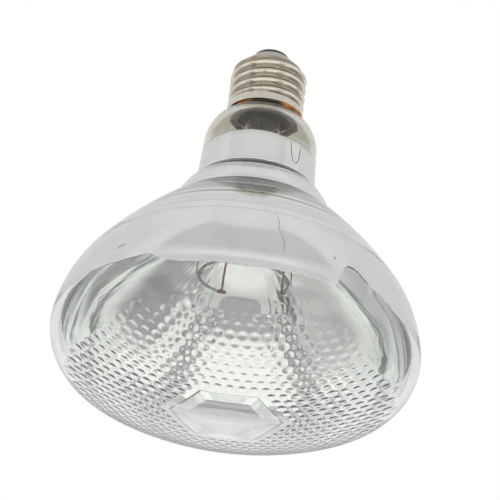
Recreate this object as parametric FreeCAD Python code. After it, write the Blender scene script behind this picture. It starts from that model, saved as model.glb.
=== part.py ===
import FreeCAD, Part

import math
import os

from FreeCAD import Vector

# Infrared heat lamp bulb with a screw cap, in millimetres.
# +Z runs along the lamp's axis towards the cap's contact, so the lens faces down.
# The origin is on the axis, at the lower edge of the cap's smooth skirt.

# Screw cap: a rolled sheet sleeve with a standard round thread
crest_radius = 13.15
thread_pitch = 3.629
thread_round = 1.025
thread_turns = 5.0
sheet = 0.30
skirt_height = 2.6
skirt_fade = 0.9
shell_height = 24.0
head_lean = 45.0
shoulder_round = 2.6
lip_radius = 6.2
lip_overrun = 1.0

# The thread's ridge: its hollow is flattened so that the root is a plain cylinder between the turns,
# its foot runs into the wall, and its ends stop just under the sloping head
root_flat = 0.065
ridge_foot = 0.05
ridge_depth = 0.30
ridge_clearance = 0.10

# Cap insulator and its contacts
insulator_grip = 1.8
insulator_floor = 4.2
insulator_top_radius = 5.0
insulator_rise = 1.1
insulator_bulge = 0.3
eyelet_radius = 4.4
eyelet_thick = 1.2
eyelet_bulge = 0.3
eyelet_bend_height = 0.84
rivet_radius = 1.0
rivet_bore = 0.45
solder_height = 0.7
solder_radius = 2.8
solder_flat_radius = 1.6
solder_bulge = 0.2
solder_bend_height = 0.52
side_solder_radius = 1.3

# Glass neck: a tube held in the cap, a round shoulder and a slightly flared neck
neck_wall = 2.0
neck_tube_radius = 11.2
neck_tube_top = 8.0
shoulder_radius = 14.5
shoulder_drop = 13.2
neck_radius = 19.4
neck_flare = 0.7
neck_length = 15.0
cement_gap = 0.25
cement_inset = 0.25

# Glass bowl: a swelling band under the neck, then three round curves down to the rim
bowl_wall = 2.8
band_bulge = 0.8
band_foot_radius = 27.6
upper_curve_radius = 150.0
lower_curve_radius = 44.0
knuckle_radius = 17.0
rim_radius = 60.7
rim_drop = 88.4
upper_turn = 36.4
lower_turn = 8.0

# Pressed front lens with a hexagonal window sunk into its inner face, with wide sloping sides
dome_radius = 112.0
window_radius = 18.4
window_draft = 5.2
window_glass = 2.0
window_turn = 0.0

# Aluminium film on the inside of the bowl
film = 0.12
film_top = 17.0

# Glass stem: a flared tube, a flat press, an exhaust tube, a rod and a button
flare_wall = 1.2
flare_fit = 3.0
flare_foot_radius = 6.4
flare_waist = 1.0
press_top = 12.0
press_length = 14.0
press_width = 13.0
press_thick = 4.4
press_round = 1.76
exhaust_radius = 2.4
exhaust_wall = 0.8
exhaust_top = 14.0
exhaust_tip = 2.0
rod_radius = 1.8
rod_length = 12.0
button_radius = 3.0

# Filament ring, its clamps, lead wires and supports
filament_drop = 63.0
filament_ring_radius = 15.0
coil_radius = 0.55
filament_start = 112.5
filament_sweep = 280.0
clamp_wall = 0.45
clamp_turn = 9.0
lead_radius = 0.40
lead_spacing = 8.4
lead_bend = 2.0
lead_straight = 6.0
seal_depth = 6.0
outer_lead_radius = 0.30
outer_lead_bend = 0.9
side_lead_inset = 0.45
support_radius = 0.22
support_root = 0.9
hook_gap = 0.15
hook_tail = 1.4
hook_stem = 5.0
support_places = (("support_wire_left", 186.0), ("support_wire_front", 268.0), ("support_wire_right", 352.0))

CUT_MARGIN = 5.0


def point(radius, height):
    """A point of a turned profile, at its radius and height."""
    return Vector(radius, 0, height)


def line(a, b):
    return Part.LineSegment(a, b).toShape()


def arc(a, middle, b):
    return Part.Arc(a, middle, b).toShape()


def on_circle(centre, radius, degrees):
    """The point of a profile circle at an angle above the level."""
    turn = math.radians(degrees)
    return Vector(centre.x + radius * math.cos(turn), 0, centre.z + radius * math.sin(turn))


def angle_on(centre, spot):
    return math.degrees(math.atan2(spot.z - centre.z, spot.x - centre.x))


def arc_about(centre, radius, start, end):
    """An arc of a profile circle, from one angle to another."""
    first, middle, last = (on_circle(centre, radius, turn) for turn in (start, (start + end) / 2.0, end))
    return arc(first, middle, last)


def turned(edges):
    """A solid of revolution about the lamp's axis, from a closed chain of profile edges."""
    face = Part.Face(Part.Wire(Part.__sortEdges__(edges)))
    solid = face.revolve(Vector(0, 0, 0), Vector(0, 0, 1), 360)
    if solid.Volume < 0:
        solid.reverse()
    return solid


def height_at(centre, radius, r):
    """The upper height at which a profile circle has the radius r from the axis."""
    return centre.z + math.sqrt(radius ** 2 - (r - centre.x) ** 2)


def circles_meet(centre_a, radius_a, centre_b, radius_b):
    """The outer of the two points where two profile circles cross."""
    apart = centre_b.sub(centre_a)
    distance = apart.Length
    along = (distance ** 2 + radius_a ** 2 - radius_b ** 2) / (2.0 * distance)
    aside = math.sqrt(radius_a ** 2 - along ** 2)
    base = centre_a.add(apart * (along / distance))
    normal = Vector(-apart.z, 0, apart.x) * (aside / distance)
    return max((base.add(normal), base.sub(normal)), key=lambda spot: spot.x)


# Screw shell

def wave_ring(inset, root_radius):
    """The closed section of one thread ridge, set inwards by inset."""
    crest = crest_radius - inset
    crest_round = thread_round - inset
    root_round = thread_round + inset
    crest_centre = Vector(crest - crest_round, 0, 0)
    half_pitch = thread_pitch / 2.0
    step = math.sqrt((2.0 * thread_round) ** 2 - half_pitch ** 2)
    lean = math.degrees(math.atan2(half_pitch, step))
    root_centre_r = crest_centre.x + step
    base = root_radius - ridge_foot
    reach = math.degrees(math.acos((root_centre_r - base) / root_round))
    sink = root_radius - ridge_depth
    upper_root = Vector(root_centre_r, 0, half_pitch)
    lower_root = Vector(root_centre_r, 0, -half_pitch)
    crest_arc = arc_about(crest_centre, crest_round, -lean, lean)
    upper_arc = arc_about(upper_root, root_round, 180.0 + lean, 180.0 + reach)
    lower_arc = arc_about(lower_root, root_round, 180.0 - lean, 180.0 - reach)
    upper_end = on_circle(upper_root, root_round, 180.0 + reach)
    lower_end = on_circle(lower_root, root_round, 180.0 - reach)
    inner_high = Vector(sink, 0, upper_end.z)
    inner_low = Vector(sink, 0, lower_end.z)
    edges = [crest_arc, upper_arc, line(upper_end, inner_high), line(inner_high, inner_low)]
    edges += [line(inner_low, lower_end), lower_arc]
    return Part.Wire(Part.__sortEdges__(edges))


def head_slope(inset):
    """The two ends of the head's sloping side: where it leaves the round, and a little past the lip."""
    round_centre = Vector(root_radius_outer - shoulder_round, 0, round_centre_z)
    outward = math.radians(head_lean)
    foot = on_circle(round_centre, shoulder_round - inset, head_lean)
    head_r = lip_radius - inset * math.cos(outward) - lip_overrun * math.sin(outward)
    head_z = shell_height - inset * math.sin(outward) + lip_overrun * math.cos(outward)
    return round_centre, foot, point(head_r, head_z)


def shell_form(inset):
    """The screw shell's outer form, or its hollow when it is set inwards by the sheet."""
    skirt = crest_radius - inset
    root = root_radius_outer - inset
    round_centre, slope_foot, slope_head = head_slope(inset)
    start = point(0, 0)
    skirt_foot = point(skirt, 0)
    skirt_head = point(skirt, skirt_height)
    root_foot = point(root, skirt_height + skirt_fade)
    root_head = point(root, round_centre.z)
    axis_head = point(0, slope_head.z)
    body = turned([
        line(start, skirt_foot),
        line(skirt_foot, skirt_head),
        line(skirt_head, root_foot),
        line(root_foot, root_head),
        arc_about(round_centre, shoulder_round - inset, 0.0, head_lean),
        line(slope_foot, slope_head),
        line(slope_head, axis_head),
        line(axis_head, start),
    ])
    helix = Part.makeLongHelix(thread_pitch, thread_pitch * thread_turns, root)
    ridge = Part.Wire(helix.Edges).makePipeShell([wave_ring(inset, root)], True, True)
    if ridge.Volume < 0:
        ridge.reverse()
    ridge.translate(Vector(0, 0, thread_start))
    fall = math.tan(math.radians(90.0 - head_lean))
    limit_head_z = slope_head.z - ridge_clearance
    limit_edge = point(skirt, limit_head_z - (skirt - slope_head.x) * fall)
    limit = turned([
        line(start, skirt_foot),
        line(skirt_foot, limit_edge),
        line(limit_edge, point(slope_head.x, limit_head_z)),
        line(point(slope_head.x, limit_head_z), point(0, limit_head_z)),
        line(point(0, limit_head_z), start),
    ])
    return body.fuse(ridge.common(limit))


thread_depth = 2.0 * thread_round - math.sqrt((2.0 * thread_round) ** 2 - (thread_pitch / 2.0) ** 2)
root_radius_outer = crest_radius - thread_depth + root_flat
root_radius_inner = root_radius_outer - sheet
thread_start = skirt_height + skirt_fade - thread_pitch / 2.0
# The head's slope ends at the lip, and its round touches both the slope and the wall.
slope_run = (root_radius_outer - lip_radius) * math.tan(math.radians(90.0 - head_lean))
round_centre_z = shell_height - slope_run - shoulder_round * math.tan(math.radians(head_lean / 2.0))


def make_screw_shell():
    lip_hole = Part.makeCylinder(lip_radius, shell_height + CUT_MARGIN)
    shell = shell_form(0.0).cut(shell_form(sheet))
    return shell.cut(lip_hole)


# Cap insulator and contacts

insulator_base = round_centre_z - insulator_grip
insulator_foot = insulator_base + insulator_floor
insulator_top = shell_height + insulator_rise
eyelet_top = insulator_top + eyelet_thick
cap_top = eyelet_top + solder_height


def make_cap_insulator():
    """Black glass that fills the shell's head and tapers up to the contact."""
    centre, slope_foot, slope_head = head_slope(sheet)
    grip = root_radius_inner - sheet
    seat = point(root_radius_inner, round_centre_z)
    slope_lean = math.tan(math.radians(90.0 - head_lean))
    neck = point(lip_radius, slope_head.z - (lip_radius - slope_head.x) * slope_lean)
    shoulder = point(lip_radius, shell_height)
    top_edge = point(insulator_top_radius, insulator_top)
    bend_r = (lip_radius + insulator_top_radius) / 2.0 + insulator_bulge
    bend = point(bend_r, (shell_height + insulator_top) / 2.0 + insulator_bulge)
    inner_top = point(rivet_radius, insulator_top)
    inner_foot = point(rivet_radius, insulator_foot)
    edges = [
        arc_about(centre, shoulder_round - sheet, 0.0, head_lean),
        line(slope_foot, neck),
        line(neck, shoulder),
        arc(shoulder, bend, top_edge),
        line(top_edge, inner_top),
        line(inner_top, inner_foot),
        line(inner_foot, point(centre.x, insulator_base)),
        line(point(centre.x, insulator_base), point(grip, insulator_base)),
        line(point(grip, insulator_base), point(grip, seat.z - sheet)),
        line(point(grip, seat.z - sheet), seat),
    ]
    return turned(edges)


def make_contact_eyelet():
    """Domed contact plate with a hollow rivet through the insulator."""
    rim = point(eyelet_radius, insulator_top)
    crown = point(solder_radius, eyelet_top)
    bend = point((eyelet_radius + solder_radius) / 2.0 + eyelet_bulge, insulator_top + eyelet_bend_height)
    bore_top = point(rivet_bore, eyelet_top)
    bore_foot = point(rivet_bore, insulator_foot)
    foot = point(rivet_radius, insulator_foot)
    neck = point(rivet_radius, insulator_top)
    return turned([
        line(neck, rim),
        arc(rim, bend, crown),
        line(crown, bore_top),
        line(bore_top, bore_foot),
        line(bore_foot, foot),
        line(foot, neck),
    ])


def make_contact_solder():
    """Flattened pad of solder on the eyelet."""
    rim = point(solder_radius, eyelet_top)
    flat = point(solder_flat_radius, cap_top)
    bend = point((solder_radius + solder_flat_radius) / 2.0 + solder_bulge, eyelet_top + solder_bend_height)
    return turned([
        arc(rim, bend, flat),
        line(flat, point(0, cap_top)),
        line(point(0, cap_top), point(0, eyelet_top)),
        line(point(0, eyelet_top), rim),
    ])


# Glass bulb

class Profile:
    """The curves of the glass, set inwards from its outer face by a wall."""

    def __init__(self, neck_inset, bowl_inset):
        self.neck_inset = neck_inset
        self.bowl_inset = bowl_inset
        self.shoulder_centre = Vector(neck_radius - shoulder_radius, 0, -shoulder_drop)
        self.shoulder_round = shoulder_radius - neck_inset
        self.tube = neck_tube_radius - neck_inset
        self.neck_head = point(neck_radius - neck_inset, -shoulder_drop)
        self.outer_foot = point(neck_radius + neck_flare, -shoulder_drop - neck_length)
        self.rim_centre = Vector(rim_radius - knuckle_radius, 0, -rim_drop)
        self.knuckle = knuckle_radius - bowl_inset
        lower_shift = lower_curve_radius - knuckle_radius
        self.lower_centre = on_circle(self.rim_centre, -lower_shift, lower_turn)
        upper_shift = upper_curve_radius - lower_curve_radius
        self.upper_centre = on_circle(self.lower_centre, -upper_shift, upper_turn)
        self.set_band()

    def set_band(self):
        """The band is a shallow arc from the neck's foot to the bowl."""
        foot_z = height_at(self.upper_centre, upper_curve_radius, band_foot_radius)
        band_foot = point(band_foot_radius, foot_z)
        chord = band_foot.sub(self.outer_foot)
        middle = (band_foot.add(self.outer_foot)) * 0.5
        outward = Vector(-chord.z, 0, chord.x)
        outward.normalize()
        radius = (chord.Length ** 2 / 4.0 + band_bulge ** 2) / (2.0 * band_bulge)
        self.band_centre = middle.sub(outward * (radius - band_bulge))
        self.band_radius = radius - self.bowl_inset
        neck_foot_r = self.outer_foot.x - self.neck_inset
        self.neck_foot = point(neck_foot_r, height_at(self.band_centre, self.band_radius, neck_foot_r))
        upper_round = upper_curve_radius - self.bowl_inset
        self.bowl_head = circles_meet(self.band_centre, self.band_radius, self.upper_centre, upper_round)

    def neck_radius_at(self, z):
        """The radius of the straight neck at a height."""
        share = (self.neck_head.z - z) / (self.neck_head.z - self.neck_foot.z)
        return self.neck_head.x + share * (self.neck_foot.x - self.neck_head.x)

    def tube_edges(self):
        """From the neck tube's top down to the head of the straight neck."""
        start_z = height_at(self.shoulder_centre, self.shoulder_round, self.tube)
        start = point(self.tube, start_z)
        turn = angle_on(self.shoulder_centre, start)
        return [
            line(point(self.tube, neck_tube_top), start),
            arc_about(self.shoulder_centre, self.shoulder_round, turn, 0.0),
        ]

    def lower_edges(self, start):
        """From a point on the straight neck down to the rim."""
        upper_round = upper_curve_radius - self.bowl_inset
        lower_round = lower_curve_radius - self.bowl_inset
        band_start = angle_on(self.band_centre, self.neck_foot)
        band_end = angle_on(self.band_centre, self.bowl_head)
        bowl_start = angle_on(self.upper_centre, self.bowl_head)
        return [
            line(start, self.neck_foot),
            arc_about(self.band_centre, self.band_radius, band_start, band_end),
            arc_about(self.upper_centre, upper_round, bowl_start, upper_turn),
            arc_about(self.lower_centre, lower_round, upper_turn, lower_turn),
            arc_about(self.rim_centre, self.knuckle, lower_turn, 0.0),
        ]

    def rim(self):
        return point(self.rim_centre.x + self.knuckle, -rim_drop)


outer_face = Profile(0.0, 0.0)
inner_face = Profile(neck_wall, bowl_wall)
film_face = Profile(neck_wall + film, bowl_wall + film)


def make_reflector_glass():
    """Neck tube, shoulder, neck, band and bowl, as one hollow blown shape."""
    edges = outer_face.tube_edges() + outer_face.lower_edges(outer_face.neck_head)
    edges += inner_face.tube_edges() + inner_face.lower_edges(inner_face.neck_head)
    edges.append(line(outer_face.rim(), inner_face.rim()))
    edges.append(line(point(outer_face.tube, neck_tube_top), point(inner_face.tube, neck_tube_top)))
    return turned(edges)


def make_mirror_coating():
    """Thin film on the glass, from part way up the neck down to the rim."""
    outer_top = point(inner_face.neck_radius_at(-film_top), -film_top)
    inner_top = point(film_face.neck_radius_at(-film_top), -film_top)
    edges = inner_face.lower_edges(outer_top) + film_face.lower_edges(inner_top)
    edges.append(line(inner_face.rim(), film_face.rim()))
    edges.append(line(outer_top, inner_top))
    return turned(edges)


def lens_face(inset):
    """The lens's face in profile: round knuckle at the rim, then a shallow dome."""
    centre = outer_face.rim_centre
    knuckle = knuckle_radius - inset
    dome = dome_radius - inset
    dome_centre = Vector(0, 0, centre.z + math.sqrt((dome_radius - knuckle_radius) ** 2 - centre.x ** 2))
    turn = angle_on(dome_centre, centre)
    return [
        arc_about(centre, knuckle, 0.0, turn),
        arc_about(dome_centre, dome, turn, -90.0),
    ], dome_centre.z - dome


def hexagon(radius, z):
    """A level six-sided wire about the axis."""
    corners = []
    for index in range(6):
        turn = math.radians(window_turn + 60.0 * index)
        corners.append(Vector(radius * math.cos(turn), radius * math.sin(turn), z))
    return Part.makePolygon(corners + corners[:1])


def make_front_lens():
    """Pressed dome, with the hexagonal window sunk into its inner face."""
    outer_edges, outer_apex = lens_face(0.0)
    inner_edges, inner_apex = lens_face(bowl_wall)
    rim_line = line(outer_face.rim(), inner_face.rim())
    axis_line = line(Vector(0, 0, outer_apex), Vector(0, 0, inner_apex))
    dome = turned(outer_edges + inner_edges + [rim_line, axis_line])
    inner_radius = dome_radius - bowl_wall
    corner_z = inner_apex + inner_radius - math.sqrt(inner_radius ** 2 - window_radius ** 2)
    floor_z = outer_apex + window_glass
    top_z = corner_z + CUT_MARGIN
    floor_radius = window_radius - window_draft
    top_radius = floor_radius + window_draft * (top_z - floor_z) / (corner_z - floor_z)
    window = Part.makeLoft([hexagon(floor_radius, floor_z), hexagon(top_radius, top_z)], True, True)
    return dome.cut(window)


def make_basing_cement():
    """Cement ring between the neck tube and the shell, down to the glass shoulder."""
    centre = outer_face.shoulder_centre
    skirt = crest_radius - sheet
    visible = skirt - cement_inset
    high = root_radius_inner - cement_gap
    glass_start = height_at(centre, shoulder_radius, neck_tube_radius)
    visible_foot = point(visible, height_at(centre, shoulder_radius, visible))
    tube_foot = point(neck_tube_radius, glass_start)
    foot_turn = angle_on(centre, visible_foot)
    tube_turn = angle_on(centre, tube_foot)
    fade = skirt_height + skirt_fade
    return turned([
        arc_about(centre, shoulder_radius, tube_turn, foot_turn),
        line(visible_foot, point(visible, 0)),
        line(point(visible, 0), point(skirt, 0)),
        line(point(skirt, 0), point(skirt, skirt_height - cement_gap)),
        line(point(skirt, skirt_height - cement_gap), point(high, fade)),
        line(point(high, fade), point(high, neck_tube_top)),
        line(point(high, neck_tube_top), point(neck_tube_radius, neck_tube_top)),
        line(point(neck_tube_radius, neck_tube_top), tube_foot),
    ])


# Wires

def rounded_path(points, bend):
    """Straight runs through the points, joined by arcs that touch both runs."""
    spots = [Vector(*spot) for spot in points]
    edges = []
    here = spots[0]
    for index in range(1, len(spots) - 1):
        corner = spots[index]
        back = spots[index - 1].sub(corner)
        ahead = spots[index + 1].sub(corner)
        back.normalize()
        ahead.normalize()
        half = back.getAngle(ahead) / 2.0
        cut = bend / math.tan(half)
        first = corner.add(back * cut)
        last = corner.add(ahead * cut)
        inward = back.add(ahead)
        inward.normalize()
        middle = corner.add(inward * (bend / math.sin(half) - bend))
        if here.distanceToPoint(first) > 1e-6:
            edges.append(line(here, first))
        edges.append(arc(first, middle, last))
        here = last
    if here.distanceToPoint(spots[-1]) > 1e-6:
        edges.append(line(here, spots[-1]))
    return Part.Wire(edges)


def wire_solid(points, radius, bend):
    """A round wire along a rounded path."""
    path = rounded_path(points, bend)
    start = Vector(*points[0])
    heading = Vector(*points[1]).sub(start)
    ring = Part.Wire(Part.makeCircle(radius, start, heading))
    solid = path.makePipeShell([ring], True, True)
    if solid.Volume < 0:
        solid.reverse()
    return solid


filament_z = -filament_drop
press_foot = -press_top - press_length
button_z = press_foot - rod_length
seal_z = press_foot + seal_depth
filament_end = filament_start + filament_sweep


def on_ring(degrees, radius):
    turn = math.radians(degrees)
    return radius * math.cos(turn), radius * math.sin(turn)


def inner_lead(side, degrees):
    """Stiff wire from the press to a clamp at one end of the filament."""
    x, y = on_ring(degrees, filament_ring_radius)
    start_x = side * lead_spacing / 2.0
    return wire_solid([
        (start_x, 0, seal_z),
        (start_x, 0, press_foot - lead_straight),
        (x, y, filament_z + 2.0 * lead_straight),
        (x, y, filament_z),
    ], lead_radius, lead_bend)


def ring_section(inner, outer, start, sweep):
    """A length of the filament's ring, solid or hollow."""
    x, y = on_ring(start, filament_ring_radius)
    turn = math.radians(start)
    heading = Vector(-math.sin(turn), math.cos(turn), 0)
    face = Part.Face(Part.Wire(Part.makeCircle(outer, Vector(x, y, filament_z), heading)))
    if inner > 0:
        face = face.cut(Part.Face(Part.Wire(Part.makeCircle(inner, Vector(x, y, filament_z), heading))))
    solid = face.revolve(Vector(0, 0, filament_z), Vector(0, 0, 1), sweep)
    if solid.Volume < 0:
        solid.reverse()
    return solid


def make_filament():
    return ring_section(0.0, coil_radius, filament_start, filament_sweep)


def make_clamp(start):
    return ring_section(coil_radius, coil_radius + clamp_wall, start, clamp_turn)


def support_wire(degrees):
    """Thin wire from the glass button, with a hook that the coil rests in."""
    reach = coil_radius + hook_gap + support_radius
    outside = filament_ring_radius + reach
    inside = filament_ring_radius - reach

    def place(radius, z):
        x, y = on_ring(degrees, radius)
        return x, y, z

    return wire_solid([
        place(support_root, button_z),
        place(support_root + button_radius, button_z),
        place(outside, filament_z + hook_stem),
        place(outside, filament_z - reach),
        place(inside, filament_z - reach),
        place(inside, filament_z + hook_tail),
    ], support_radius, reach)


def outer_lead_centre():
    """Thin wire from the press, up beside the exhaust tube and through the eyelet."""
    x = lead_spacing / 2.0
    return wire_solid([
        (x, 0, seal_z),
        (x, 0, exhaust_top + outer_lead_radius),
        (0, 0, insulator_foot - outer_lead_bend),
        (0, 0, eyelet_top),
    ], outer_lead_radius, lead_bend)


def outer_lead_side():
    """Thin wire from the press to the shell's lip, through the insulator's edge."""
    y = lip_radius - side_lead_inset
    x = -lead_spacing / 2.0
    return wire_solid([
        (x, 0, seal_z),
        (x, 0, neck_tube_top + lead_bend),
        (0, y, insulator_base - lead_bend),
        (0, y, shell_height + outer_lead_radius),
    ], outer_lead_radius, lead_bend)


def make_side_solder():
    """Blob of solder on the shell's lip, over the end of the side wire."""
    y = lip_radius + outer_lead_radius
    return Part.makeSphere(side_solder_radius, Vector(0, y, shell_height))


# Glass stem

def make_stem():
    """Flared tube, flat press, exhaust tube, rod and button, melted into one piece."""
    top = neck_tube_radius - neck_wall
    hold = neck_tube_top - flare_fit
    foot = -press_top
    waist = point((top + flare_foot_radius) / 2.0 - flare_waist, (hold + foot) / 2.0)
    inner_waist = point(waist.x - flare_wall, waist.z)
    flare = turned([
        line(point(top - flare_wall, neck_tube_top), point(top, neck_tube_top)),
        line(point(top, neck_tube_top), point(top, hold)),
        arc(point(top, hold), waist, point(flare_foot_radius, foot)),
        line(point(flare_foot_radius, foot), point(flare_foot_radius - flare_wall, foot)),
        arc(point(flare_foot_radius - flare_wall, foot), inner_waist, point(top - flare_wall, hold)),
        line(point(top - flare_wall, hold), point(top - flare_wall, neck_tube_top)),
    ])
    corner = Vector(-press_width / 2.0, -press_thick / 2.0, press_foot)
    press = Part.makeBox(press_width, press_thick, press_length, corner)
    uprights = [e for e in press.Edges if abs(e.tangentAt(e.FirstParameter).z) > 0.99]
    press = press.makeFillet(press_round, uprights)
    collar = Part.makeCylinder(flare_foot_radius, flare_wall, Vector(0, 0, foot - flare_wall))
    tube_length = exhaust_top - foot
    tube = Part.makeCylinder(exhaust_radius, tube_length, Vector(0, 0, foot))
    bore = Part.makeCylinder(exhaust_radius - exhaust_wall, tube_length - exhaust_tip, Vector(0, 0, foot))
    tip = Part.makeSphere(exhaust_radius, Vector(0, 0, exhaust_top))
    rod = Part.makeCylinder(rod_radius, rod_length, Vector(0, 0, button_z))
    button = Part.makeSphere(button_radius, Vector(0, 0, button_z))
    return flare.fuse([collar, press, tube.fuse(tip).cut(bore), rod, button]).removeSplitter()


def save(name, shape):
    solids = shape.Solids
    if len(solids) == 1:
        shape = solids[0]
    shape.exportStep(os.path.join("parts", name + ".step"))
    print(name, "solids", len(solids), "volume", round(shape.Volume, 3), "valid", shape.isValid())


def main():
    os.makedirs("parts", exist_ok=True)
    shell = make_screw_shell()
    left_lead = inner_lead(-1.0, filament_start + clamp_turn / 2.0)
    right_lead = inner_lead(1.0, filament_end - clamp_turn / 2.0)
    centre_lead = outer_lead_centre()
    side_lead = outer_lead_side()
    supports = [(name, support_wire(turn)) for name, turn in support_places]
    clamp_left = make_clamp(filament_start)
    clamp_right = make_clamp(filament_end - clamp_turn)
    filament = make_filament()
    wires = [left_lead, right_lead, centre_lead, side_lead] + [solid for name, solid in supports]
    insulator = make_cap_insulator().cut(side_lead)

    save("screw_shell", shell)
    save("cap_insulator", insulator)
    save("contact_eyelet", make_contact_eyelet())
    save("contact_solder", make_contact_solder())
    save("side_solder", make_side_solder().cut([shell, insulator, side_lead]))
    save("basing_cement", make_basing_cement())
    save("reflector_glass", make_reflector_glass())
    save("mirror_coating", make_mirror_coating())
    save("front_lens", make_front_lens())
    save("stem_glass", make_stem().cut(wires))
    save("inner_lead_left", left_lead.cut([clamp_left, filament]))
    save("inner_lead_right", right_lead.cut([clamp_right, filament]))
    save("outer_lead_centre", centre_lead)
    save("outer_lead_side", side_lead)
    save("clamp_left", clamp_left)
    save("clamp_right", clamp_right)
    save("filament", filament)
    for name, solid in supports:
        save(name, solid)


main()
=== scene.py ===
# %% [markdown]
# # An infrared heat lamp bulb, dressed around its CAD frame
#
# The lamp is a blown glass reflector with a pressed front lens, a rolled screw cap and a coiled
# filament on thin wires. The CAD model holds its sizes. This script gives it its finish: clear glass,
# a mirror film with an uneven edge, a dimpled lens, a rolled thread and a fine coil.
# Everything is in metres, in the CAD model's own frame: +Z points along the lamp to its contact.

# %% Load the frame
import math
import bmesh
import bpy
import numpy as np
from mathutils import Matrix, Vector


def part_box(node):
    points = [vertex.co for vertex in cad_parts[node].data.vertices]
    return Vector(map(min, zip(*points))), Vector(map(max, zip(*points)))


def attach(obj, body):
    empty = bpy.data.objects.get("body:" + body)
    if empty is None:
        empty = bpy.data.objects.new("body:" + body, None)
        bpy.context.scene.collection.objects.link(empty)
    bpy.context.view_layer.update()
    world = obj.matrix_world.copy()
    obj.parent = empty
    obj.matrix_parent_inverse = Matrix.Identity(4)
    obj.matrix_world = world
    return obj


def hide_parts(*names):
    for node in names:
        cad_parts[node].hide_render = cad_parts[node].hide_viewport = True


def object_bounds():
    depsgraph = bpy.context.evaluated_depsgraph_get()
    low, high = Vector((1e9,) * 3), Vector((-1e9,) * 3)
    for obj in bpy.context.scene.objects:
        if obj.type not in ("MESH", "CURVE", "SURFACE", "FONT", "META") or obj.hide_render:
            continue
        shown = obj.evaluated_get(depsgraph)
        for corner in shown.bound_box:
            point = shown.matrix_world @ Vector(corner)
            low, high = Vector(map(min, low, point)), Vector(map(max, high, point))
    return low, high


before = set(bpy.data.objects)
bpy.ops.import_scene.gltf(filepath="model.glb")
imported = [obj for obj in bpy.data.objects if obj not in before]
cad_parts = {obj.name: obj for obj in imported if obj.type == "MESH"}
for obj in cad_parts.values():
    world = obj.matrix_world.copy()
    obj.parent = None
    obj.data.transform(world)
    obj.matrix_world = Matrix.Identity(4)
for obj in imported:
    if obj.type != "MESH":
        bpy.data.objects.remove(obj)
cad_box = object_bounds()
MM = 0.001
cad_size = [round(v / MM, 1) for v in cad_box[1] - cad_box[0]]
print("frame holds", len(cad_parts), "nodes; box", cad_size, "mm")

# %% [markdown]
# ## The camera
#
# The photograph looks up at the lamp from below and in front, with a long lens. A camera can be
# aimed by hand, or set from a fit of known edges. Here its place, tilt and focal length come from a
# fit of the rim, the neck rings and the cap, so the outline falls on the photograph's outline.

# %% Camera
CAMERA_PLACE = Vector((0.9, -681.3, -428.2)) * MM
CAMERA_RISE = math.radians(28.905)
CAMERA_ROLL = math.radians(7.223)
IMAGE_PIXELS = 500
FOCAL_PIXELS = 2332.6
SENSOR = 36.0

camera_data = bpy.data.cameras.new("camera")
camera_data.sensor_width = SENSOR
camera_data.lens = SENSOR * FOCAL_PIXELS / IMAGE_PIXELS
camera_data.clip_start = 0.05
camera_data.clip_end = 20.0
camera = bpy.data.objects.new("camera", camera_data)
# A new camera looks down, so it is first raised to the horizon.
raised = Matrix.Rotation(math.pi / 2 + CAMERA_RISE, 4, "X")
camera.matrix_world = Matrix.Translation(CAMERA_PLACE) @ raised @ Matrix.Rotation(CAMERA_ROLL, 4, "Z")
bpy.context.scene.collection.objects.link(camera)
bpy.context.scene.camera = camera
print("camera lens", round(camera_data.lens, 2), "mm")

# %% [markdown]
# ## Small helpers for node trees
#
# Materials, Geometry Nodes and the world are all node trees. Adding a node, setting its values and
# linking it take several lines each time, so one helper does all three: an input that is given
# another node's output is linked, and any other input is set. Rules with many Math nodes are hard
# to read, so a node's output also takes plain arithmetic, and each operation adds its Math node.


# %% Node helpers
class Output:
    """A node's output. Arithmetic on it adds Math nodes, so a rule reads like a formula."""

    def __init__(self, tree, socket):
        self.tree, self.socket = tree, socket

    def __add__(self, other):
        return maths("ADD", self, other)

    def __sub__(self, other):
        return maths("SUBTRACT", self, other)

    def __rsub__(self, other):
        return maths("SUBTRACT", other, self)

    def __mul__(self, other):
        return maths("MULTIPLY", self, other)

    def __truediv__(self, other):
        return maths("DIVIDE", self, other)

    __radd__, __rmul__ = __add__, __mul__


def set_input(tree, socket, value):
    """Links another node's output to an input, or sets a plain value."""
    if isinstance(value, Output):
        tree.links.new(value.socket, socket)
    else:
        socket.default_value = value


def put(tree, kind, inputs=(), **settings):
    """Adds one node, with its settings, and sets or links its inputs."""
    node = tree.nodes.new(kind)
    for name, value in settings.items():
        setattr(node, name, value)
    for key, value in dict(inputs).items():
        set_input(tree, node.inputs[key], value)
    return node


def out(tree, kind, inputs=(), output=0, **settings):
    """One output of a new node."""
    return Output(tree, put(tree, kind, inputs, **settings).outputs[output])


def maths(operation, *values):
    """One Math node, in the tree of the outputs among its values."""
    tree = next(value.tree for value in values if isinstance(value, Output))
    return out(tree, "ShaderNodeMath", enumerate(values), operation=operation)


def split(vector):
    """The three parts of a vector."""
    parts = put(vector.tree, "ShaderNodeSeparateXYZ", {0: vector}).outputs
    return [Output(vector.tree, part) for part in parts]


def smooth_step(value, low, high, start=0.0, end=1.0):
    """A soft step from one value to another."""
    inputs = {"Value": value, "From Min": low, "From Max": high, "To Min": start, "To Max": end}
    return out(value.tree, "ShaderNodeMapRange", inputs, "Result", interpolation_type="SMOOTHSTEP")


def soft_window(value, low, high, soft):
    """One inside the range, zero outside it, with soft edges."""
    rise = smooth_step(value, low - soft, low + soft)
    return rise * (1.0 - smooth_step(value, high - soft, high + soft))


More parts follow.
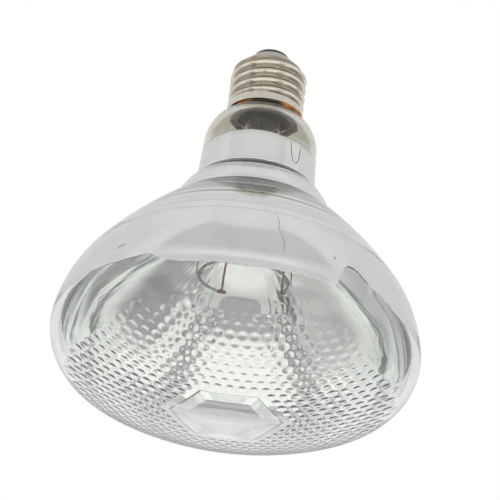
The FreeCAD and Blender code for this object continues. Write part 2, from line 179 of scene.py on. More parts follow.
def mixed(share, a, b):
    """A colour between a and b, each an output or three plain numbers."""
    node = put(share.tree, "ShaderNodeMix", data_type="RGBA")
    for key, kind, value in (("Factor", "VALUE", share), ("A", "RGBA", a), ("B", "RGBA", b)):
        socket = next(s for s in node.inputs if s.name == key and s.type == kind)
        set_input(share.tree, socket, (*value, 1.0) if isinstance(value, tuple) else value)
    return Output(share.tree, next(s for s in node.outputs if s.type == "RGBA"))


SOCKET_KINDS = {float: "NodeSocketFloat", int: "NodeSocketInt", type(None): "NodeSocketGeometry"}


def make_group(name, kind, inputs, output):
    """A node group with named inputs, a geometry where the value is None, and one output."""
    tree = bpy.data.node_groups.new(name, kind)
    for label, value in inputs.items():
        item = tree.interface.new_socket(label, in_out="INPUT", socket_type=SOCKET_KINDS[type(value)])
        if value is not None:
            item.default_value = value
    output_kind = SOCKET_KINDS[type(None) if output == "Geometry" else float]
    tree.interface.new_socket(output, in_out="OUTPUT", socket_type=output_kind)
    sockets = tree.nodes.new("NodeGroupInput").outputs
    return tree, {label: Output(tree, sockets[label]) for label in inputs}


# %% [markdown]
# ## Light: a bright tent
#
# Glass and mirror show little of themselves and much of the room. The photograph was taken in a
# white light tent: nearly the same brightness comes from every side, with a few darker places,
# such as stands and the gaps between panels, and a few brighter ones. Lamps could light such a
# scene, but a world that knows the direction of each ray gives smoother reflections and less
# noise. Each such place is a soft-edged window in azimuth and elevation, set from what the
# mirror shows in the photograph. Rays straight from the camera see plain white.

# %% World
# Name, azimuth and half width, lowest and highest elevation, softness, all in degrees, then the
# share by which the window is darker or brighter than the tent. Azimuth 0 faces the camera, and 90
# is to the right.
TENT_LIGHT = 0.94
WINDOWS = (
    ("front roof", 0, 68, 48, 77, 4, -0.20),
    ("front lamp", 0, 36, 38, 48, 3, 0.09),
    ("front panel", -6, 62, 20, 37, 3, -0.13),
    ("right panel", 62, 20, 28, 57, 6, -0.05),
    ("back frame", 180, 9, 38, 56, 8, -0.42),
    ("low front light", 0, 85, -18, 13, 5, 0.40),
    ("front softbox", 0, 66, -49, -20, 4, 0.38),
    ("below the softbox", 0, 75, -64, -51, 3, -0.52),
    ("left wall", -122, 32, 14, 60, 10, -0.08),
    ("right wall", 122, 32, 14, 60, 10, -0.08),
    ("right stand", 38, 8, -64, -8, 5, -0.76),
    ("left stand", -54, 8, -64, -8, 5, -0.76),
    ("left side", -98, 34, -52, -26, 7, -0.32),
    ("right side", 98, 34, -52, -26, 7, -0.58),
    ("back sweep", 180, 50, -60, -6, 7, 0.40),
    ("back wall", 180, 60, 4, 22, 6, -0.08),
    ("back opening", 180, 14, 6, 22, 7, -0.48),
)


def make_world():
    world = bpy.data.worlds.new("light_tent")
    world.use_nodes = True
    tree = world.node_tree
    tree.nodes.clear()
    x, y, z = split(out(tree, "ShaderNodeTexCoord", output="Generated"))
    elevation = maths("DEGREES", maths("ARCSINE", z))
    azimuth = maths("DEGREES", maths("ARCTAN2", x, y * -1.0))
    light = TENT_LIGHT
    for name, centre, half, low, high, soft, change in WINDOWS:
        aside = maths("ABSOLUTE", maths("WRAP", azimuth - centre, 180.0, -180.0))
        beside = 1.0 - smooth_step(aside, half - soft, half + soft)
        shade = beside * soft_window(elevation, low, high, soft)
        light = light * (shade * change + 1.0)
    seen = out(tree, "ShaderNodeLightPath", output="Is Camera Ray")
    strength = light * (1.0 - seen) + seen
    shine = out(tree, "ShaderNodeBackground", {"Color": (1.0, 1.0, 0.995, 1.0), "Strength": strength})
    put(tree, "ShaderNodeOutputWorld", {"Surface": shine})
    return world


bpy.context.scene.world = make_world()
bpy.context.scene.view_settings.view_transform = "Standard"
print("world has", len(WINDOWS), "windows")

# %% [markdown]
# ## The outline of the glass
#
# The glass is turned about the lamp's axis, so one outline describes it: a neck tube, a round
# shoulder, a slightly flared neck, a swelling band, and three arcs that run into each other down to
# the rim. The lens goes on with the rim's knuckle and a shallow dome. A free curve would be quicker,
# but arcs that touch each other reflect smoothly, and they match the CAD model exactly. The few
# sizes below are the CAD model's, in millimetres; the rest is read from the frame.

# %% Outline of the glass
TUBE_RADIUS, TUBE_TOP = 11.2, 8.0
SHOULDER_RADIUS, SHOULDER_DROP = 14.5, 13.2
NECK_RADIUS, NECK_FLARE, NECK_LENGTH, NECK_WALL = 19.4, 0.7, 15.0, 2.0
BAND_FOOT_RADIUS, BAND_BULGE = 27.6, 0.8
UPPER_CURVE, LOWER_CURVE, KNUCKLE = 150.0, 44.0, 17.0
UPPER_TURN, LOWER_TURN = 36.4, 8.0
BOWL_WALL, DOME_RADIUS = 2.8, 112.0
rim_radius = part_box("reflector_glass")[1].x / MM
rim_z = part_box("reflector_glass")[0].z / MM
ARC_STEP = 0.9


def round_points(centre, radius, start, end):
    """Points along an arc of the outline, as radius and height."""
    count = max(3, int(abs(math.radians(end - start)) * radius / ARC_STEP) + 1)
    turn = np.radians(np.linspace(start, end, count))
    return np.stack([centre[0] + radius * np.cos(turn), centre[1] + radius * np.sin(turn)], 1)


def height_on(centre, radius, r):
    """The height of an arc's upper half at a distance from the axis."""
    return centre[1] + math.sqrt(radius ** 2 - (r - centre[0]) ** 2)


def angle_to(centre, spot):
    return math.degrees(math.atan2(spot[1] - centre[1], spot[0] - centre[0]))


def step_back(centre, distance, turn):
    """The centre of a larger arc that touches a smaller one at an angle."""
    lean = math.radians(turn)
    return centre[0] - distance * math.cos(lean), centre[1] - distance * math.sin(lean)


def circles_cross(centre_a, radius_a, centre_b, radius_b):
    """The outer of the two points where two circles cross."""
    a, b = np.array(centre_a), np.array(centre_b)
    apart = np.linalg.norm(b - a)
    along = (apart ** 2 + radius_a ** 2 - radius_b ** 2) / (2 * apart)
    aside = math.sqrt(radius_a ** 2 - along ** 2)
    direction = (b - a) / apart
    square = np.array((-direction[1], direction[0]))
    spots = a + direction * along + square * aside, a + direction * along - square * aside
    return max(spots, key=lambda spot: spot[0])


knuckle_centre = (rim_radius - KNUCKLE, rim_z)
lower_centre = step_back(knuckle_centre, LOWER_CURVE - KNUCKLE, LOWER_TURN)
upper_centre = step_back(lower_centre, UPPER_CURVE - LOWER_CURVE, UPPER_TURN)
shoulder_centre = (NECK_RADIUS - SHOULDER_RADIUS, -SHOULDER_DROP)
neck_foot = np.array((NECK_RADIUS + NECK_FLARE, -SHOULDER_DROP - NECK_LENGTH))
band_foot = np.array((BAND_FOOT_RADIUS, height_on(upper_centre, UPPER_CURVE, BAND_FOOT_RADIUS)))
band_chord = band_foot - neck_foot
band_radius = (band_chord @ band_chord / 4 + BAND_BULGE ** 2) / (2 * BAND_BULGE)
band_out = np.array((-band_chord[1], band_chord[0])) / np.linalg.norm(band_chord)
band_centre = (neck_foot + band_foot) / 2 - band_out * (band_radius - BAND_BULGE)
dome_z = rim_z + math.sqrt((DOME_RADIUS - KNUCKLE) ** 2 - knuckle_centre[0] ** 2)
lens_turn = angle_to((0.0, dome_z), knuckle_centre)


def dome_edge(inset):
    """The radius at which a face of the lens's dome runs into the knuckle."""
    return knuckle_centre[0] + (KNUCKLE - inset) * math.cos(math.radians(lens_turn))


def tube_part(inset):
    """Neck tube and shoulder, from the tube's top down to the straight neck."""
    shoulder = SHOULDER_RADIUS - inset
    tube = TUBE_RADIUS - inset
    foot = (tube, height_on(shoulder_centre, shoulder, tube))
    tube_heights = np.linspace(TUBE_TOP, foot[1], 12)[:-1]
    straight = np.stack([np.full_like(tube_heights, tube), tube_heights], 1)
    curve = round_points(shoulder_centre, shoulder, angle_to(shoulder_centre, foot), 0.0)
    return np.vstack([straight, curve])


def bowl_part(neck_inset, bowl_inset):
    """Neck, band and bowl, from the straight neck's top down to the rim."""
    foot_r = neck_foot[0] - neck_inset
    band = band_radius - bowl_inset
    foot = (foot_r, height_on(band_centre, band, foot_r))
    upper = UPPER_CURVE - bowl_inset
    head = circles_cross(band_centre, band, upper_centre, upper)
    neck_z = np.linspace(-SHOULDER_DROP, foot[1], int((-SHOULDER_DROP - foot[1]) / ARC_STEP) + 2)[:-1]
    neck_r = NECK_RADIUS - neck_inset + NECK_FLARE * (-SHOULDER_DROP - neck_z) / NECK_LENGTH
    return np.vstack([
        np.stack([neck_r, neck_z], 1),
        round_points(band_centre, band, angle_to(band_centre, foot), angle_to(band_centre, head))[:-1],
        round_points(upper_centre, upper, angle_to(upper_centre, head), UPPER_TURN)[:-1],
        round_points(lower_centre, LOWER_CURVE - bowl_inset, UPPER_TURN, LOWER_TURN)[:-1],
        round_points(knuckle_centre, KNUCKLE - bowl_inset, LOWER_TURN, 0.0),
    ])


def lens_height(r, inset):
    """The height of the lens's face at a radius."""
    on_dome = dome_z - np.sqrt(np.maximum((DOME_RADIUS - inset) ** 2 - r ** 2, 0))
    on_knuckle = rim_z - np.sqrt(np.maximum((KNUCKLE - inset) ** 2 - (r - knuckle_centre[0]) ** 2, 0))
    return float(np.where(r < dome_edge(inset), on_dome, on_knuckle))


outer_wall = np.vstack([tube_part(0.0)[:-1], bowl_part(0.0, 0.0)])
inner_wall = np.vstack([tube_part(NECK_WALL)[:-1], bowl_part(NECK_WALL, BOWL_WALL)])
print("rim radius", round(rim_radius, 2), "mm; lens apex", round(lens_height(0.0, 0.0), 2), "mm")

# %% [markdown]
# ## Turning an outline into a mesh
#
# A Screw modifier or the Spin tool would turn an outline. Writing the vertices directly is as short,
# and the outline may then change on its way around, as the film's and the cement's do. The same
# rule joins the sections of a thin bar, which then gets two capped ends.


# %% Mesh helpers
def link_mesh(name, mesh):
    piece = bpy.data.objects.new(name, mesh)
    bpy.context.scene.collection.objects.link(piece)
    return piece


def add_mesh(name, places, faces, smooth=True):
    """A linked object from places in millimetres."""
    mesh = bpy.data.meshes.new(name)
    mesh.from_pydata((np.asarray(places, float) * MM).tolist(), [], faces)
    mesh.polygons.foreach_set("use_smooth", [smooth] * len(mesh.polygons))
    mesh.update()
    return link_mesh(name, mesh)


def keep_form(name, form):
    """A linked object from an edited form, with its faces turned outwards."""
    bmesh.ops.recalc_face_normals(form, faces=form.faces)
    mesh = bpy.data.meshes.new(name)
    form.to_mesh(mesh)
    form.free()
    return link_mesh(name, mesh)


def add_skin(name, places, faces, sharp_degrees=180.0):
    """A closed piece that faces outwards, and keeps edges crisp from an angle on."""
    piece = add_mesh(name, places, faces)
    form = bmesh.new()
    form.from_mesh(piece.data)
    bmesh.ops.remove_doubles(form, verts=form.verts, dist=1e-7)
    bmesh.ops.recalc_face_normals(form, faces=form.faces)
    form.to_mesh(piece.data)
    form.free()
    piece.data.set_sharp_from_angle(angle=math.radians(sharp_degrees))
    return piece


def join_sections(sections, closed=True):
    """Places and faces of a skin through closed outlines, joined to a ring or capped at both ends."""
    count, size = len(sections), len(sections[0])
    faces = []
    for i in range(count if closed else count - 1):
        a, b = i * size, (i + 1) % count * size
        for k in range(size):
            m = (k + 1) % size
            faces.append((a + k, b + k, b + m, a + m))
    if not closed:
        faces += [tuple(range(size)), tuple(range((count - 1) * size, count * size))]
    return np.vstack(sections), faces


def turn_sections(section_at, steps):
    """Places and faces of a skin around the axis; its outline may change with the azimuth."""
    sections = []
    for azimuth in np.linspace(-180.0, 180.0, steps, endpoint=False):
        r, z = np.array(section_at(azimuth)).T
        turn = math.radians(azimuth)
        sections.append(np.stack([r * math.cos(turn), r * math.sin(turn), z], 1))
    return join_sections(sections)


def settle(piece, body, slot_name, material, *nodes):
    """Gives a finished piece its material and body, and hides the CAD nodes it stands for. The slot name is not
    used.
    """
    if material is not None:
        piece.data.materials.clear()
        piece.data.materials.append(material)
    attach(piece, body)
    if nodes:
        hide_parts(*nodes)
    print(piece.name, len(piece.data.polygons), "faces")
    return piece


# %% [markdown]
# ## Shared finishes
#
# Two effects come back on several materials: soft cloudy wear, and fine grain that runs one way.
# Each is a node group, built once and placed in each material with its own values. Everything reads
# Object coordinates, so the pattern stays on the piece from every side.


# %% Shader groups
def object_place(tree):
    return out(tree, "ShaderNodeTexCoord", output="Object")


def make_cloud_group():
    """Soft blotches from two sizes of noise, as a value from 0 to 1."""
    inputs = {"Size": 10.0, "Low": 0.4, "High": 0.7}
    tree, given = make_group("soft_blotches", "ShaderNodeTree", inputs, "Mask")
    scale = maths("DIVIDE", 1.0, given["Size"] * MM)
    inputs = {"Vector": object_place(tree), "Scale": scale, "Detail": 5.0, "Roughness": 0.6}
    noise = out(tree, "ShaderNodeTexNoise", inputs, "Fac")
    put(tree, "NodeGroupOutput", {0: smooth_step(noise, given["Low"], given["High"])})
    return tree


def make_grain_group():
    """Fine lines that run around the axis, as left by turning or rolling."""
    inputs = {"Line Width": 0.2, "Length": 6.0}
    tree, given = make_group("turned_grain", "ShaderNodeTree", inputs, "Height")
    x, y, z = split(object_place(tree))
    around = maths("ARCTAN2", y, x) * 40.0 / given["Length"]
    point = out(tree, "ShaderNodeCombineXYZ", {"X": around, "Y": 0.0, "Z": z / (given["Line Width"] * MM)})
    noise = out(tree, "ShaderNodeTexNoise", {"Vector": point, "Scale": 1.0, "Detail": 3.0}, "Fac")
    put(tree, "NodeGroupOutput", {0: noise})
    return tree


cloud_group = make_cloud_group()
grain_group = make_grain_group()
print("shader groups:", cloud_group.name, grain_group.name)


# %% Material helpers
def clouds(tree, size, low, high):
    return out(tree, "ShaderNodeGroup", {"Size": size, "Low": low, "High": high}, node_tree=cloud_group)


def grain(tree, width, length):
    return out(tree, "ShaderNodeGroup", {"Line Width": width, "Length": length}, node_tree=grain_group)


def bumped(height, distance, strength=1.0):
    inputs = {"Height": height, "Distance": distance * MM, "Strength": strength}
    return out(height.tree, "ShaderNodeBump", inputs)


def height_in_mm(tree):
    return split(object_place(tree))[2] / MM


def feed(material, **sockets):
    """Sets or links sockets of a material's Principled BSDF."""
    tree = material.node_tree
    for key, value in sockets.items():
        set_input(tree, tree.nodes["Principled BSDF"].inputs[key.replace("_", " ")], value)
    return material


def new_material(name, **plain_values):
    material = bpy.data.materials.new(name)
    material.use_nodes = True
    return feed(material, **plain_values), material.node_tree


# %% [markdown]
# ### Glass
#
# Real glass of this kind is clear, but never perfect: the blown bowl has slow waves, the pressed lens
# has a slight grey cast, and both carry a little dust. Above the mirror the neck is tinted a darker
# beige. Transmission and metallic stay plain numbers. Only the tint, the roughness and a
# faint bump change over the surface.

# %% Glass materials
# Above these heights the neck is tinted a darker beige.
NECK_TINT_FOOT, NECK_TINT_TOP = -18.0, -14.0
NECK_TINT = (0.60, 0.588, 0.53)


def make_glass(name, tint, wave, dust, neck_tint=None):
    material, tree = new_material(name, Transmission_Weight=1.0, IOR=1.474, Metallic=0.0)
    darker = tuple(value * 0.97 for value in tint)
    colour = mixed(clouds(tree, 22.0, 0.35, 0.75), tint, darker)
    if neck_tint:
        colour = mixed(smooth_step(height_in_mm(tree), NECK_TINT_FOOT, NECK_TINT_TOP), colour, neck_tint)
    return feed(material, Base_Color=colour, Roughness=clouds(tree, 0.9, 0.72, 0.80) * dust,
                Normal=bumped(clouds(tree, 14.0, 0.2, 0.8), wave, 0.6))


blown_glass = make_glass("blown_clear_glass", (0.895, 0.895, 0.882), 0.03, 0.05, NECK_TINT)
pressed_glass = make_glass("pressed_lens_glass", (0.91, 0.912, 0.90), 0.015, 0.04)
stem_glass = make_glass("stem_glass", (0.84, 0.76, 0.67), 0.02, 0.03)
print("glass materials ready")

# %% [markdown]
# ### Mirror film
#
# Aluminium vapour leaves a bright film, a touch green behind the glass. It is evaporated, so it is
# smooth, with faint clouds. Level dark rings are painted on it, standing in for dark reflections and
# shade in the mirror. At its edge it is burnt: thick, rough and dark.

# %% Mirror film material
# The dark colour of the painted rings, which stand in for dark reflections and shade in the mirror.
PAINTED_RING_DARK = (0.10, 0.105, 0.095)
# Painted dark rings, for dark reflections: lowest and highest place, softness, share of darkening.
PAINTED_DARK_RINGS = (
    (-31.3, -29.2, 0.3, 1.0), (-46.8, -41.6, 0.6, 0.75), (-52.6, -47.8, 1.0, 0.45),
    (-55.6, -54.4, 0.3, 0.80), (-63.5, -56.5, 2.0, 0.12), (-62.4, -62.0, 0.2, 0.20),
    (-66.5, -66.0, 0.2, 0.26),
)


def make_film(name, bright, dull, painted_rings=()):
    material, tree = new_material(name, Metallic=1.0, IOR=1.45)
    thin = clouds(tree, 9.0, 0.3, 0.8)
    colour = mixed(thin, bright, dull)
    uneven = grain(tree, 0.5, 30.0) * 1.2 + 0.4
    for low, high, soft, share in painted_rings:
        # Each ring mixes in the dark colour by height: a painted dark reflection.
        band = soft_window(height_in_mm(tree), low, high, soft)
        colour = mixed(band * (uneven * share), colour, PAINTED_RING_DARK)
    return feed(material, Base_Color=colour, Roughness=thin * 0.03 + 0.02)


def make_burnt_edge():
    material, tree = new_material("burnt_film_edge", Metallic=0.4)
    blotches = clouds(tree, 1.5, 0.35, 0.7)
    return feed(material, Base_Color=mixed(blotches, (0.05, 0.055, 0.055), (0.22, 0.24, 0.23)),
                Roughness=blotches * 0.3 + 0.4)


film_material = make_film("aluminium_film", (0.775, 0.79, 0.78), (0.73, 0.748, 0.742), PAINTED_DARK_RINGS)
inner_film_material = make_film("aluminium_film_inside", (0.86, 0.875, 0.865), (0.80, 0.82, 0.815))
edge_material = make_burnt_edge()
print("film materials ready, with", len(PAINTED_DARK_RINGS), "painted dark rings")

# %% [markdown]
# ### Metals, cement and black glass
#
# The cap is nickel-plated sheet, rolled to a thread: a warm grey with fine lines around it, lighter
# on the crests and darker, browner in the hollows, where the darkening is painted shade. The wires
# carry the colours of heat. The cement is orange-brown, painted black along the front as a shadow in
# the gap under the cap, and paler where the cap hides it.


# %% Metal and cement materials
def make_nickel():
    material, tree = new_material("nickel_plate", Metallic=1.0)
    x, y, z = split(object_place(tree))
    radius = maths("SQRT", x * x + y * y) / MM
    # Lighter on the crests and darker in the hollows, by radius: painted shade in the thread.
    painted_hollow_shade = mixed(smooth_step(radius, 12.1, 13.0), (0.29, 0.245, 0.185), (0.64, 0.595, 0.515))
    return feed(material, Base_Color=mixed(clouds(tree, 3.0, 0.50, 0.80), painted_hollow_shade, (0.42, 0.37, 0.29)),
                Roughness=clouds(tree, 1.2, 0.3, 0.7) * 0.05 + 0.15,
                Normal=bumped(grain(tree, 0.25, 12.0), 0.012, 0.12))


def make_wire(name, cold, hot, low, high, rough):
    """A drawn wire whose colour changes with height, from cold to heated."""
    material, tree = new_material(name, Metallic=1.0)
    colour = mixed(smooth_step(height_in_mm(tree), low, high), hot, cold)
    dirt = tuple(value * 0.6 for value in hot)
    return feed(material, Base_Color=mixed(clouds(tree, 2.0, 0.45, 0.75), colour, dirt),
                Roughness=clouds(tree, 0.6, 0.3, 0.7) * 0.2 + rough)


def make_blotchy(name, light, dark, size, rough, bump, metal=0.0):
    """A blotchy finish with a fine rough surface."""
    material, tree = new_material(name, Metallic=metal)
    blotches = clouds(tree, size, 0.35, 0.65)
    return feed(material, Base_Color=mixed(blotches, light, dark), Roughness=blotches * 0.15 + rough,
                Normal=bumped(clouds(tree, size / 4, 0.3, 0.7), bump))


def make_cement_finish():
    material, tree = new_material("baked_cement", Roughness=0.8)
    x, y, z = split(object_place(tree))
    azimuth = maths("DEGREES", maths("ARCTAN2", y, x))
    fresh = mixed(clouds(tree, 2.0, 0.35, 0.65), (0.50, 0.20, 0.035), (0.26, 0.10, 0.02))
    # The front, towards the camera, is painted black: a painted shadow in the gap under the skirt.
    blackened = mixed(soft_window(azimuth, -114.0, -66.0, 6.0), fresh, (0.03, 0.02, 0.015))
    hidden = mixed(smooth_step(z / MM, 0.4, 1.2), blackened, (0.85, 0.66, 0.50))
    return feed(material, Base_Color=hidden, Normal=bumped(clouds(tree, 0.8, 0.3, 0.7), 0.15))


nickel = make_nickel()
cement_finish = make_cement_finish()
black_glass = make_blotchy("black_cap_glass", (0.018, 0.018, 0.022), (0.035, 0.035, 0.04), 5.0, 0.08, 0.01)
solder_finish = make_blotchy("grey_solder", (0.62, 0.61, 0.60), (0.42, 0.41, 0.40), 1.5, 0.30, 0.05, 1.0)
lead_finish = make_wire("heated_lead", (0.62, 0.60, 0.56), (0.26, 0.17, 0.11), -52.0, -30.0, 0.28)
copper_finish = make_wire("copper_lead", (0.72, 0.40, 0.24), (0.60, 0.33, 0.20), -20.0, 20.0, 0.30)
tungsten_finish = make_wire("tungsten_coil", (0.42, 0.42, 0.43), (0.30, 0.30, 0.31), -64.0, -62.0, 0.25)
support_finish = make_wire("support_wire", (0.45, 0.44, 0.43), (0.28, 0.25, 0.22), -63.0, -45.0, 0.25)

CAD_FINISHES = (
    (black_glass, ("cap_insulator",)),
    (nickel, ("contact_eyelet",)),
    (solder_finish, ("contact_solder", "side_solder")),
    (stem_glass, ("stem_glass",)),
    (lead_finish, ("inner_lead_left", "inner_lead_right", "clamp_left", "clamp_right")),
    (copper_finish, ("outer_lead_centre", "outer_lead_side")),
    (support_finish, ("support_wire_left", "support_wire_front", "support_wire_right")),
)
for finish, names in CAD_FINISHES:
    for name in names:
        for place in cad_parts[name].material_slots:
            place.material = finish
print("finished", sum(len(names) for finish, names in CAD_FINISHES), "CAD nodes")


# %% [markdown]
# ## The glass reflector
#
# The bulb's body is one blown shape with an even wall. It gets finer steps around than the CAD solid:
# the mirror lies behind it, and a coarse wall would show facets in every reflection. It stays a bare
# mesh here, because the lens is melted on to it further down.

# %% Reflector glass
GLASS_STEPS = 192
glass_section = np.vstack([outer_wall, inner_wall[::-1]])
bulb_glass = add_skin("bulb_glass", *turn_sections(lambda azimuth: glass_section, GLASS_STEPS), 50.0)
print("bulb", len(bulb_glass.data.polygons), "faces")

# %% [markdown]
# ## The mirror film
#
# The film lies on the inside of the glass, from part way up the neck to the rim. Its edges are where
# the coating was masked and burnt off, so they wander. A level cut would look like a printed
# line, so the top edge is a sum of a few slow waves, and the lower edge follows a short list of
# places. Each section of the mesh is stretched between its own two ends. The film reaches a little
# into the glass, because a gap as thin as a hair would show as a second reflection.

# %% Mirror film
FILM_STEPS = 440
FILM_BOND, FILM_DEPTH = -0.015, 0.12
FILM_TOP = -16.6
# Slow waves of the upper edge: height, number of waves around, and phase in degrees.
TOP_WAVES = ((0.42, 1, 205.0), (0.16, 3, 80.0), (0.07, 7, 10.0), (0.035, 17, 45.0))
# The lower edge: azimuth in degrees from +X, and height above the rim in millimetres.
LOW_EDGE = (
    (-180, 0.6), (-160, 0.8), (-147, 0.8), (-144, 1.9), (-139, 1.7), (-125, 2.1), (-120, 2.6),
    (-116, 0.4), (-110, -0.9), (-90, -1.2), (-70, -1.0), (-61, -0.6), (-58.6, 6.6), (-57.4, 7.4),
    (-56.2, 7.9), (-54.9, 7.7), (-53, 7.1), (-51.4, 6.2), (-49.8, 5.3), (-48.6, 5.0), (-48.4, 3.9),
    (-45.4, 3.4), (-42.5, 3.0), (-39.5, 2.2), (-37.2, 1.3), (-33.7, 0.7), (-30.4, 0.4), (-20, 0.2),
    (0, 0.6), (40, 0.3), (95, 0.8), (140, 0.3), (180, 0.6),
)
FILM_END_TURN = -7.0


def film_top_at(azimuth):
    """The height of the film's upper edge at an azimuth in degrees."""
    return FILM_TOP + sum(size * math.sin(math.radians(count * azimuth + phase))
                          for size, count, phase in TOP_WAVES)


def film_low_at(azimuth):
    """The height of the film's lower edge, with a ragged line where it climbs above the rim."""
    ragged = 0.10 * math.sin(math.radians(31 * azimuth)) + 0.07 * math.sin(math.radians(53 * azimuth + 20))
    lift = np.interp(azimuth, *zip(*LOW_EDGE))
    return rim_z + lift + ragged * np.clip(lift, 0.0, 1.0)


def film_wall(inset):
    """The inside of the glass, from the neck to just past the rim, and the distance along it."""
    past_rim = round_points(knuckle_centre, KNUCKLE - BOWL_WALL - inset, 0.0, FILM_END_TURN)
    outline = np.vstack([bowl_part(NECK_WALL + inset, BOWL_WALL + inset), past_rim[1:]])
    steps = np.linalg.norm(np.diff(outline, axis=0), axis=1)
    return outline, np.concatenate([[0.0], np.cumsum(steps)])


film_walls = film_wall(FILM_BOND), film_wall(FILM_DEPTH)
film_rows = int(film_walls[0][1][-1] / ARC_STEP)


def film_section(azimuth):
    """The film's closed outline at an azimuth: down its outside and up its inside."""
    sides = []
    for outline, travel in film_walls:
        start, end = np.interp((-film_top_at(azimuth), -film_low_at(azimuth)), -outline[:, 1], travel)
        share = np.linspace(start, end, film_rows)
        sides.append(np.stack([np.interp(share, travel, outline[:, k]) for k in (0, 1)], 1))
    return np.vstack([sides[0], sides[1][::-1]])


mirror_film = add_skin("mirror_film", *turn_sections(film_section, FILM_STEPS), 60.0)
settle(mirror_film, "root", "mirror_film", film_material, "mirror_coating")
mirror_film.data.materials.append(inner_film_material)
for face in mirror_film.data.polygons:
    face.material_index = int(face.normal.x * face.center.x + face.normal.y * face.center.y < 0)

# %% [markdown]
# ## Marks in the film
#
# The film shows a dark line along its upper edge, a drip below it, a hairline crack over the bowl
# and a burnt, ragged line where it ends near the rim. They could be painted with a texture, but a
# thin bar of dark film, laid between glass and mirror, keeps a crisp edge at any distance.

# %% Film marks
MARK_BOND, MARK_DEPTH = -0.035, 0.01
# Paths on the film: azimuth in degrees from +X, and height in millimetres.
DRIP = ((-57.5, -16.8), (-56.9, -18.6), (-55.4, -22.0), (-53.6, -24.2), (-51.0, -25.0), (-48.4, -24.9),
        (-46.2, -23.8), (-44.7, -21.5), (-43.6, -18.6), (-43.2, -16.9))
HAIRLINE = ((-81.5, -66.6), (-80.3, -71.0), (-80.9, -73.8), (-79.5, -76.8), (-78.8, -79.4), (-78.9, -83.6))
DASHES = (((-133.4, -81.4), (-132.2, -80.2), (-131.0, -80.4)), ((-62.2, -79.0), (-61.4, -79.9)))
# Burnt stretches of the lower edge: first and last azimuth, and the line's width.
BURNT_STRETCHES = ((-58.2, -48.2, 0.46), (-48.9, -41.0, 0.20), (-41.5, -26.0, 0.32), (-150.0, -118.0, 0.20))
mark_wall = film_wall(MARK_BOND)[0]


def on_film(azimuth, z):
    """A place just outside the film, at an azimuth and a height."""
    r = np.interp(-z, -mark_wall[:, 1], mark_wall[:, 0])
    turn = math.radians(azimuth)
    return np.array((r * math.cos(turn), r * math.sin(turn), z))


def rounded(points):
    """The same path with more points and its corners cut off, twice."""
    path = np.array(points, float)
    for _ in range(2):
        cut = [path[0]]
        for a, b in zip(path[:-1], path[1:]):
            cut += [a * 0.75 + b * 0.25, a * 0.25 + b * 0.75]
        path = np.array(cut + [path[-1]])
    return path


def along_low_edge(start, end):
    """The film's lower edge between two azimuths, one place each third of a degree."""
    return [(a, film_low_at(a)) for a in np.linspace(start, end, int(3 * (end - start)))]


def mark(points, width, taper=True):
    """A thin closed bar of uneven width that follows a path on the film."""
    sections = []
    spots = np.array([on_film(a, z) for a, z in points])
    for k, (spot, heading) in enumerate(zip(spots, np.gradient(spots, axis=0))):
        aside = np.cross(heading, (spot[0], spot[1], 0.0))
        aside /= max(np.linalg.norm(aside), 1e-9)
        share = k / (len(spots) - 1)
        half = width / 2 * (min(1.0, 6 * share, 6 * (1 - share)) if taper else 1.0)
        half *= 1.0 + 0.35 * math.sin(2.1 * k) * math.sin(0.7 * k + 1.0)
        edges = spot - aside * half, spot + aside * half
        inner = [p * (1 - MARK_DEPTH / np.linalg.norm(p[:2]) * np.array((1, 1, 0))) for p in edges]
        sections.append([*edges, *inner[::-1]])
    return join_sections(sections, closed=False)


top_edge = [(a, film_top_at(a)) for a in np.linspace(-180.0, 180.0, 361)]
marks = [mark(top_edge, 0.16, False), mark(rounded(DRIP), 0.26), mark(rounded(HAIRLINE), 0.13)]
marks += [mark(rounded(dash), 0.46) for dash in DASHES]
marks += [mark(along_low_edge(start, end), width) for start, end, width in BURNT_STRETCHES]
mark_places, mark_faces = [], []
for places, faces in marks:
    mark_faces += [tuple(len(mark_places) + corner for corner in face) for face in faces]
    mark_places += list(places)
film_marks = add_skin("film_marks", mark_places, mark_faces)
settle(film_marks, "root", "mirror_film", edge_material)

# %% [markdown]
# ## The pressed lens
#
# The lens is pressed in a mould: smooth outside, and inside covered with small round lenses in
# straight rows that leave a six-sided window free. A bump texture would not bend the light that
# comes through, so each dimple is real. One cell, a flat six-sided tile with a dome on it, is made
# once. Geometry Nodes lay it out in rows, leave out the tiles outside the field and over the
# window, and weld them. Python then fills in the plain glass around them and lays all of it on the dome.

# %% One cell of the lens
CELL_SPACING = 3.75
DIMPLE_RADIUS, DIMPLE_HEIGHT = 1.66, 0.24
FIELD_RADIUS = 51.5
CELL_STEPS = 12
DIMPLE_SHARES = (0.4, 0.75, 1.0)


def make_cell():
    """A flat hexagonal tile with a shallow round swelling, lying level about the origin."""
    turns = [math.radians(360 / CELL_STEPS * i) for i in range(CELL_STEPS)]
    places = [(0, 0, DIMPLE_HEIGHT)]
    for share in DIMPLE_SHARES:
        r, z = DIMPLE_RADIUS * share, DIMPLE_HEIGHT * (1 - share ** 2) ** 1.5
        places += [(r * math.cos(turn), r * math.sin(turn), z) for turn in turns]
    for i, turn in enumerate(turns):
        reach = CELL_SPACING / (2 if i % 2 == 0 else math.sqrt(3))
        places.append((reach * math.cos(turn), reach * math.sin(turn), 0.0))
    faces = [(0, 1 + i, 1 + (i + 1) % CELL_STEPS) for i in range(CELL_STEPS)]
    for a in range(1, len(places) - CELL_STEPS, CELL_STEPS):
        for i in range(CELL_STEPS):
            j = (i + 1) % CELL_STEPS
            faces.append((a + i, a + CELL_STEPS + i, a + CELL_STEPS + j, a + j))
    return places, faces


lens_cell = add_mesh("lens_cell", *make_cell())
print("one cell has", len(lens_cell.data.polygons), "faces")

# %% Rows of cells, by Geometry Nodes
LENS_ROWS = 33
WELD_DISTANCE = 0.02


